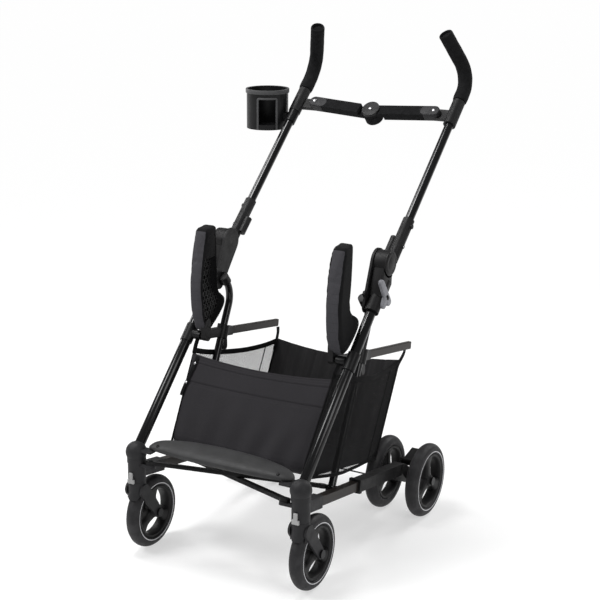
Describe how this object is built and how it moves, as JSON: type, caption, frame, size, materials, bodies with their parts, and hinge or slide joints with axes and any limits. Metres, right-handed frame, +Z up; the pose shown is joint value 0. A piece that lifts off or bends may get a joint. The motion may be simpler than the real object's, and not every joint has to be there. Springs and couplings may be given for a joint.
{
  "type": "car seat stroller frame",
  "caption": "Umbrella-fold stroller frame that carries an infant car seat between padded arms, with a fabric basket, cup holder and swivelling front wheels.",
  "frame": {"origin": "on the floor under the middle of the whole, cup holder included", "axes": "+Z up, -Y towards the front wheels, +X towards the right side as seen in the picture"},
  "size_m": [0.5698, 0.7822, 1.0448],
  "materials": {
    "gloss_black": "gloss",
    "brown_black": "satin",
    "black_plastic": "fine grain",
    "grey_plastic": "satin",
    "hub_plastic": "fine grain",
    "foam": "matte foam",
    "tyre": "matte",
    "steel": "satin",
    "pad_cloth": "woven",
    "basket_cloth": "woven",
    "mesh_cloth": "fine mesh"
  },
  "bodies": {
    "right_frame": {"leg_tube_right": "gloss_black", "front_hub_right": "hub_plastic", "rail_right": "brown_black", "rear_housing_right": "black_plastic", "axle_and_pins_right": "steel", "strut_right": "gloss_black", "hinge_housing_right": "black_plastic", "seat_bar_right": "brown_black", "seat_bar_bracket_right": "black_plastic", "basket_side_right": "mesh_cloth", "basket_cloth": "basket_cloth", "footrest": "hub_plastic", "brake_cable": "black_plastic"},
    "right_handle": {"handle_tube_right": "gloss_black", "grip_right": "foam", "hinge_collar_right": "black_plastic", "crossbar_bracket_right": "black_plastic"},
    "right_caster": {"caster_fork_right": "hub_plastic", "front_axle_right": "steel"},
    "right_front_wheel": {"front_tyre_right": "tyre", "front_rim_right": "black_plastic"},
    "right_outer_wheel": {"rear_tyre_right_outer": "tyre", "rear_rim_right_outer": "black_plastic"},
    "right_inner_wheel": {"rear_tyre_right_inner": "tyre", "rear_rim_right_inner": "black_plastic"},
    "right_lock": {"swivel_lock_right": "grey_plastic"},
    "right_arm": {"arm_shell_right": "black_plastic", "arm_pad_right": "pad_cloth"},
    "right_brace": {"brace_bar_right": "gloss_black"},
    "left_frame": {"leg_tube_left": "gloss_black", "front_hub_left": "hub_plastic", "rail_left": "brown_black", "rear_housing_left": "black_plastic", "axle_and_pins_left": "steel", "strut_left": "gloss_black", "hinge_housing_left": "black_plastic", "seat_bar_left": "brown_black", "seat_bar_bracket_left": "black_plastic", "basket_side_left": "mesh_cloth"},
    "left_handle": {"handle_tube_left": "gloss_black", "grip_left": "foam", "hinge_collar_left": "black_plastic", "crossbar_bracket_left": "black_plastic", "cup_holder": "black_plastic"},
    "left_caster": {"caster_fork_left": "hub_plastic", "front_axle_left": "steel"},
    "left_front_wheel": {"front_tyre_left": "tyre", "front_rim_left": "black_plastic"},
    "left_outer_wheel": {"rear_tyre_left_outer": "tyre", "rear_rim_left_outer": "black_plastic"},
    "left_inner_wheel": {"rear_tyre_left_inner": "tyre", "rear_rim_left_inner": "black_plastic"},
    "left_lock": {"swivel_lock_left": "grey_plastic"},
    "left_arm": {"arm_shell_left": "black_plastic", "arm_pad_left": "pad_cloth"},
    "left_brace": {"brace_bar_left": "gloss_black"},
    "right_link": {"crossbar_link_right": "black_plastic"},
    "left_link": {"crossbar_link_left": "black_plastic"},
    "lever": {"fold_lever": "grey_plastic"},
    "pedal": {"brake_pedal": "black_plastic"}
  },
  "joints": [
    {"name": "handle_fold", "type": "hinge", "parent": "right_frame", "child": "right_handle", "pos_m": [0.22065, -0.01738, 0.60218], "axis": [1, 0, 0], "range_deg": [0, 168]},
    {"name": "width_fold", "type": "hinge", "parent": "right_handle", "child": "right_link", "pos_m": [0.17565, 0.30931, 0.86404], "axis": [0, 0.6691, -0.7431], "range_deg": [0, 62], "deforming": ["basket_cloth", "footrest", "brake_cable"]},
    {"name": "knob_turn", "type": "hinge", "parent": "right_link", "child": "left_link", "pos_m": [0.02565, 0.30039, 0.85601], "axis": [0, 0.6691, -0.7431], "range_deg": [-124, 0]},
    {"name": "left_link_turn", "type": "hinge", "parent": "left_link", "child": "left_handle", "pos_m": [-0.12435, 0.30931, 0.86404], "axis": [0, 0.6691, -0.7431], "range_deg": [0, 62]},
    {"name": "left_fold", "type": "hinge", "parent": "left_handle", "child": "left_frame", "pos_m": [-0.16935, -0.01738, 0.60218], "axis": [1, 0, 0], "range_deg": [-168, 0]},
    {"name": "right_brace_turn", "type": "hinge", "parent": "right_frame", "child": "right_brace", "pos_m": [0.18565, -0.35962, 0.203], "axis": [0, 0.2554, 0.9668], "range_deg": [-32.18, 0]},
    {"name": "left_brace_turn", "type": "hinge", "parent": "left_frame", "child": "left_brace", "pos_m": [-0.13435, -0.35962, 0.203], "axis": [0, 0.2554, 0.9668], "range_deg": [0, 32.18]},
    {"name": "right_swivel", "type": "hinge", "parent": "right_frame", "child": "right_caster", "pos_m": [0.22065, -0.35962, 0.172], "axis": [0, 0, 1], "continuous": true},
    {"name": "right_front_roll", "type": "hinge", "parent": "right_caster", "child": "right_front_wheel", "pos_m": [0.22065, -0.31362, 0.0775], "axis": [1, 0, 0], "continuous": true},
    {"name": "right_outer_roll", "type": "hinge", "parent": "right_frame", "child": "right_outer_wheel", "pos_m": [0.26465, 0.11838, 0.082], "axis": [1, 0, 0], "continuous": true},
    {"name": "right_inner_roll", "type": "hinge", "parent": "right_frame", "child": "right_inner_wheel", "pos_m": [0.16665, 0.11838, 0.082], "axis": [1, 0, 0], "continuous": true},
    {"name": "right_lock_slide", "type": "slide", "parent": "right_frame", "child": "right_lock", "axis": [0, 0, 1], "range_m": [0, 0.008]},
    {"name": "right_arm_tip", "type": "hinge", "parent": "right_frame", "child": "right_arm", "pos_m": [0.22065, -0.15881, 0.42682], "axis": [1, 0, 0], "range_deg": [0, 60]},
    {"name": "left_swivel", "type": "hinge", "parent": "left_frame", "child": "left_caster", "pos_m": [-0.16935, -0.35962, 0.172], "axis": [0, 0, 1], "continuous": true},
    {"name": "left_front_roll", "type": "hinge", "parent": "left_caster", "child": "left_front_wheel", "pos_m": [-0.16935, -0.31362, 0.0775], "axis": [1, 0, 0], "continuous": true},
    {"name": "left_outer_roll", "type": "hinge", "parent": "left_frame", "child": "left_outer_wheel", "pos_m": [-0.21335, 0.11838, 0.082], "axis": [1, 0, 0], "continuous": true},
    {"name": "left_inner_roll", "type": "hinge", "parent": "left_frame", "child": "left_inner_wheel", "pos_m": [-0.11535, 0.11838, 0.082], "axis": [1, 0, 0], "continuous": true},
    {"name": "left_lock_slide", "type": "slide", "parent": "left_frame", "child": "left_lock", "axis": [0, 0, 1], "range_m": [0, 0.008]},
    {"name": "left_arm_tip", "type": "hinge", "parent": "left_frame", "child": "left_arm", "pos_m": [-0.16935, -0.15881, 0.42682], "axis": [1, 0, 0], "range_deg": [0, 60]},
    {"name": "lever_pull", "type": "hinge", "parent": "right_frame", "child": "lever", "pos_m": [0.22065, -0.04489, 0.53635], "axis": [1, 0, 0], "range_deg": [0, 25], "stiffness_Nm_per_rad": 0.4},
    {"name": "pedal_press", "type": "hinge", "parent": "right_frame", "child": "pedal", "pos_m": [0.21565, 0.14238, 0.104], "axis": [-1, 0, 0], "range_deg": [0, 18]}
  ],
  "couplings": [
    {"joint": "knob_turn", "follows": "width_fold", "ratio": -2},
    {"joint": "left_link_turn", "follows": "width_fold", "ratio": 1},
    {"joint": "left_fold", "follows": "handle_fold", "ratio": -1},
    {"joint": "right_brace_turn", "follows": "width_fold", "ratio": -0.51905},
    {"joint": "left_brace_turn", "follows": "width_fold", "ratio": 0.51905}
  ]
}
